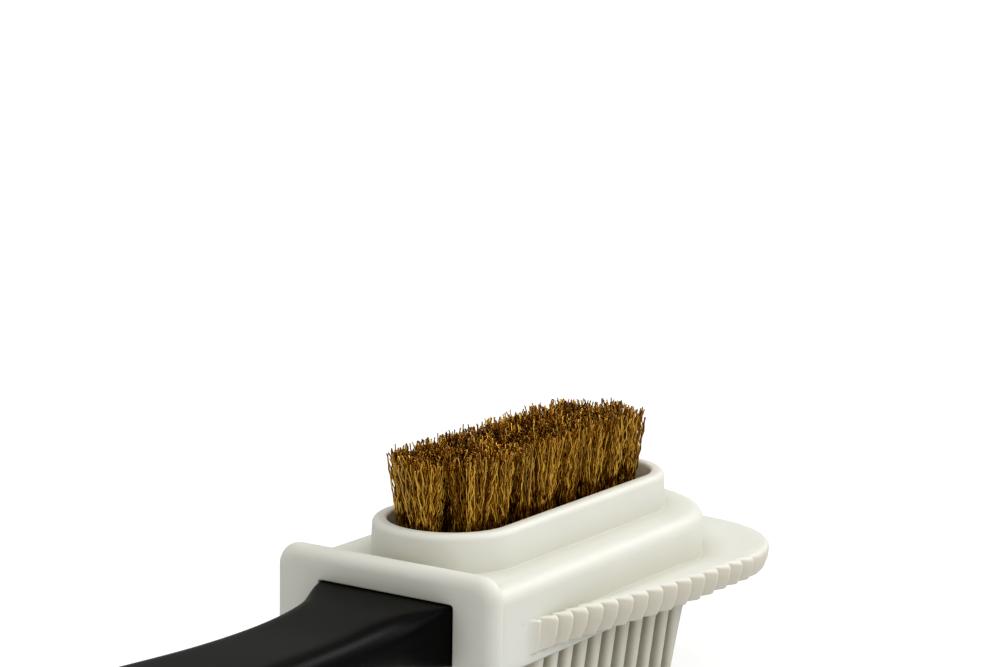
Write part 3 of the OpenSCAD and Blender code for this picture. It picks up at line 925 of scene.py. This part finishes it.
# %% Tip of each wire
# The cube of a random number is small for most wires and large for a few.
lone = node(tuft_tree, "FunctionNodeRandomValue", {
    "Min": (-1.1, -1.1, 0), "Max": (1.1, 1.1, 0), "ID": index, "Seed": given["Seed"],
}, data_type="FLOAT_VECTOR")
square = node(tuft_tree, VECTOR_MATH, {
    0: lone.outputs[0], 1: lone.outputs[0],
}, operation="MULTIPLY")
cube = node(tuft_tree, VECTOR_MATH, {
    0: square.outputs[0], 1: lone.outputs[0],
}, operation="MULTIPLY")
stray = node(tuft_tree, VECTOR_MATH, {
    0: lock_side.outputs[0], 1: (1.9, 1.9, 0), 2: cube.outputs[0],
}, operation="MULTIPLY_ADD")
aside = node(tuft_tree, VECTOR_MATH, {
    0: stray.outputs[0], "Scale": given["Wander"],
}, operation="SCALE")
strayed = node(tuft_tree, VECTOR_MATH, {
    0: leant.outputs[0], 1: aside.outputs[0],
}, operation="ADD")
other_seed = node(tuft_tree, MATH, {0: given["Seed"], 1: 1000.0}, operation="ADD")
chance = node(tuft_tree, "FunctionNodeRandomValue", {
    "ID": index, "Seed": other_seed.outputs[0],
}, data_type="FLOAT")
short = node(tuft_tree, MATH, {0: chance.outputs[1], 1: given["Uneven"]}, operation="MULTIPLY")
length = node(tuft_tree, MATH, {0: given["Height"], 1: short.outputs[0]}, operation="SUBTRACT")
upright = node(tuft_tree, "ShaderNodeCombineXYZ", {"Z": length.outputs[0]})
tip = node(tuft_tree, VECTOR_MATH, {
    0: strayed.outputs[0], 1: upright.outputs[0],
}, operation="ADD")
print(len(tuft_tree.nodes), "nodes so far")

# %% Crimp of each wire
along = node(tuft_tree, "GeometryNodeSplineParameter").outputs["Factor"]
bent = node(tuft_tree, "ShaderNodeMix", {
    "Factor": along, 4: start.outputs[0], 5: tip.outputs[0],
}, data_type="VECTOR")
phase_seed = node(tuft_tree, MATH, {0: given["Seed"], 1: 2000.0}, operation="ADD")
phase = node(tuft_tree, "FunctionNodeRandomValue", {
    "Min": (0, 0, 0), "Max": (1.6, 1.6, 1), "ID": index, "Seed": phase_seed.outputs[0],
}, data_type="FLOAT_VECTOR")
shared_phase = node(tuft_tree, VECTOR_MATH, {
    0: lock.outputs["Color"], 1: (20, 20, 0), 2: phase.outputs[0],
}, operation="MULTIPLY_ADD")
apart = node(tuft_tree, "ShaderNodeSeparateXYZ", {0: shared_phase.outputs[0]})
wave = node(tuft_tree, MATH, {
    0: along, 1: given["Waves"], 2: apart.outputs[0],
}, operation="MULTIPLY_ADD")
swing = node(tuft_tree, MATH, {0: wave.outputs[0]}, operation="SINE")
size = node(tuft_tree, MATH, {0: swing.outputs[0], 1: given["Crimp"]}, operation="MULTIPLY")
sideways = node(tuft_tree, "ShaderNodeCombineXYZ", {"X": size.outputs[0]})
crimp = node(tuft_tree, "ShaderNodeVectorRotate", {
    "Vector": sideways.outputs[0], "Angle": apart.outputs[1],
}, rotation_type="Z_AXIS")
crimped = node(tuft_tree, VECTOR_MATH, {0: bent.outputs[1], 1: crimp.outputs[0]}, operation="ADD")
rooted = node(tuft_tree, VECTOR_MATH, {0: crimped.outputs[0], 1: given["Root"]}, operation="ADD")
print(len(tuft_tree.nodes), "nodes so far")

# %% Wires from the lines
posed = node(tuft_tree, "GeometryNodeSetPosition", {
    "Geometry": wires.outputs[0], "Position": rooted.outputs[0],
})
marked = node(tuft_tree, "GeometryNodeStoreNamedAttribute", {
    "Geometry": posed.outputs[0], "Name": "wire", "Value": apart.outputs[2],
}, data_type="FLOAT", domain="POINT")
section = node(tuft_tree, "GeometryNodeCurvePrimitiveCircle", {
    "Resolution": 3, "Radius": given["Wire radius"],
})
tubes = node(tuft_tree, "GeometryNodeCurveToMesh", {
    "Curve": marked.outputs[0], "Profile Curve": section.outputs[0], "Fill Caps": True,
})
plain = node(tuft_tree, "GeometryNodeRealizeInstances", {0: tubes.outputs[0]})
painted = node(tuft_tree, "GeometryNodeSetMaterial", {
    "Geometry": plain.outputs[0], "Material": given["Brass"],
})
node(tuft_tree, "NodeGroupOutput", {0: painted.outputs[0]})
print("the tree of a tuft has", len(tuft_tree.nodes), "nodes")

# %% [markdown]
# ## Three rows of tufts
# The rows stand half a pitch out of step, as drilled in the core. Instances on a grid of
# points would place them all at once, but each tuft is a separate piece of the real
# brush, so each gets an object of its own. The whole field leans outward a little towards
# its edges and more at the back, so a tuft gets its lean from its place.

# %% Places of the tufts
row_count, row_gap, tuft_pitch, field_back, field_x = 8, 4.6, 5.444, 9.4, 31.175
tuft_places = {}
for i in range(row_count):
    x = field_x + (i - (row_count - 1) / 2) * tuft_pitch
    tuft_places[f"tuft_right_{i + 1}"] = (x, -row_gap)
    tuft_places[f"tuft_left_{i + 1}"] = (x, row_gap)
for i in range(row_count + 1):
    tuft_places[f"tuft_middle_{i + 1}"] = (field_x + (i - row_count / 2) * tuft_pitch, 0)
field_len = row_count * tuft_pitch
print(len(tuft_places), "tufts on a field", round(field_len, 1), "mm long")

# %% Grow the tufts
wire_top, root_z, tuft_r, wire_r = 14.1, 0.9, 1.6, 0.105
wire_count, wire_spread, wire_uneven, wire_wander = 170, 1.62, 1.6, 0.85
wire_crimp, crimp_period = 0.22, 2.9
lean_along, lean_across, lean_back = 0.025, 0.05, 0.35
tufts = {}
for seed, (name, (x, y)) in enumerate(sorted(tuft_places.items())):
    back_share = 1 - (x - field_back) / field_len
    lean = ((x - field_x) * lean_along - back_share * lean_back, y * lean_across, 0)
    tufts[name] = grow(name + "_wires", tuft_tree, {
        "Root": to_frame((x, y, root_z)).tolist(), "Lean": [c * MM for c in lean],
        "Wires": wire_count, "Root radius": (tuft_r - wire_r) * MM, "Spread": wire_spread,
        "Height": (wire_top - root_z) * MM, "Uneven": wire_uneven * MM,
        "Wander": wire_wander * MM, "Crimp": wire_crimp * MM,
        "Waves": 2 * pi * (wire_top - root_z) / crimp_period,
        "Wire radius": wire_r * MM, "Seed": seed, "Brass": brass_wire,
    })
    tufts[name].data.shade_smooth()
print(len(tufts), "tufts of", len(tufts["tuft_middle_1"].data.polygons), "faces")

# %% [markdown]
# ## Joining the looks to the model
# Every piece rides on the model's one body, and the construction piece it stands for is
# hidden. The anchors are hidden in their holes and already right, so they only get a finish.

# %% Ride, hide the construction pieces and give the finishes
shells = (head, plate, fins, front_fin)
for made in shells:
    made.data.materials.clear()
    made.data.materials.append(rubber)
    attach(made, "root")
    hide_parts("rubber_head")
handle.data.materials.clear()
handle.data.materials.append(black_plastic)
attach(handle, "root")
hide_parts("handle")
for name, made in tufts.items():
    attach(made, "root")
    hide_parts(name)
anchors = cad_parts["tuft_anchors"]
for slot in anchors.material_slots:
    slot.material = brass_strip
print(len(shells) + 1 + len(tufts), "new pieces ride on the root, beside the anchors")

# %% [markdown]
# ## Floor
# The brush stands on its fins on a sweep of white paper, matt and even. A brighter lamp
# would turn the paper white and wash out the rubber. So the paper is lifted to white only
# for the camera, and a little for reflections. It then pours no extra light on the brush,
# and the soft shadow stays.

# %% Floor
floor_size = 6
floor_mesh = bpy.data.meshes.new("floor")
edge_x = floor_size / 2
corners = [(-edge_x, -edge_x, 0), (edge_x, -edge_x, 0), (edge_x, edge_x, 0), (-edge_x, edge_x, 0)]
floor_mesh.from_pydata(corners, [], [(0, 1, 2, 3)])
floor = bpy.data.objects.new("floor", floor_mesh)
bpy.context.scene.collection.objects.link(floor)
paper, tree, shader, place = finish_of("white_paper_sweep", Roughness=0.9, Specular_IOR_Level=0.0)
shader.inputs["Base Color"].default_value = colour("#C0C0C0")
path = node(tree, "ShaderNodeLightPath")
mirror_share, lift_strength = 0.15, 0.6
mirrored = node(tree, MATH, {
    0: path.outputs["Is Glossy Ray"], 1: mirror_share,
}, operation="MULTIPLY")
direct = node(tree, MATH, {
    0: path.outputs["Is Camera Ray"], 1: mirrored.outputs[0],
}, operation="MAXIMUM")
seen = node(tree, MATH, {
    0: direct.outputs[0], 1: path.outputs["Is Transmission Ray"],
}, operation="MAXIMUM")
lift = node(tree, MATH, {0: seen.outputs[0], 1: lift_strength}, operation="MULTIPLY")
shader.inputs["Emission Color"].default_value = (1, 1, 1, 1)
tree.links.new(lift.outputs[0], shader.inputs["Emission Strength"])
floor_mesh.materials.append(paper)
print("the floor is", floor_size, "m wide")

# %% [markdown]
# ## Lamps and world
# The photo's light is soft and comes from most sides, a little more from the right.
# Area lamps near the brush would fall off along it. Wide suns don't, and their angle sets
# how soft a shadow is. A broad one lights the near side, and one from beyond the nose
# picks out the edges that face right. One hangs overhead, and a weak one opens the back.
# The world fills the rest with a warm white, and looks brighter to the camera alone.

# %% Lamps and world
def lamp(name, toward, width, brightness):
    """A distant soft lamp. toward points from the brush to the lamp, width is in degrees."""
    data = bpy.data.lights.new(name, "SUN")
    data.angle = radians(width)
    data.energy = brightness * pi
    made = bpy.data.objects.new(name, data)
    made.rotation_euler = Vector(toward).to_track_quat("Z", "Y").to_euler()
    bpy.context.scene.collection.objects.link(made)
    return made


lamp("broad_side", (0.42, -0.72, 0.55), 30, 0.3)
lamp("far_right", (0.75, -0.27, 0.6), 18, 0.24)
lamp("soft_overhead", (0, 0, 1), 60, 0.21)
lamp("soft_rear", (-0.7, -0.4, 0.55), 40, 0.19)
world = bpy.data.worlds.new("studio")
bpy.context.scene.world = world
world.use_nodes = True
world.node_tree.nodes["Background"].inputs["Color"].default_value = (1, 1, 0.965, 1)
path = node(world.node_tree, "ShaderNodeLightPath")
fill = 0.45
glow = node(world.node_tree, MATH, {
    0: path.outputs["Is Camera Ray"], 1: fill,
}, operation="MAXIMUM")
world.node_tree.links.new(glow.outputs[0], world.node_tree.nodes["Background"].inputs["Strength"])
print(len(bpy.data.lights), "lamps, and a world of strength", fill)

# %% [markdown]
# ## Camera
# A long lens from behind the handle, a little above it, sees the brush as the photo does.
# The place, the turn and the lens were worked out from the head's straight edges.

# %% Camera
eye = bpy.data.cameras.new("camera")
eye.lens, eye.sensor_width = 100.944, 36
camera = bpy.data.objects.new("camera", eye)
camera.location = (-0.267817, -0.198491, 0.117298)
camera.rotation_euler = [radians(a) for a in (79.763, -0.876, -56.763)]
bpy.context.scene.collection.objects.link(camera)
bpy.context.scene.camera = camera
bpy.context.scene.view_settings.view_transform = "Standard"
print("the camera stands", round(camera.location.length, 2), "m from the brush")
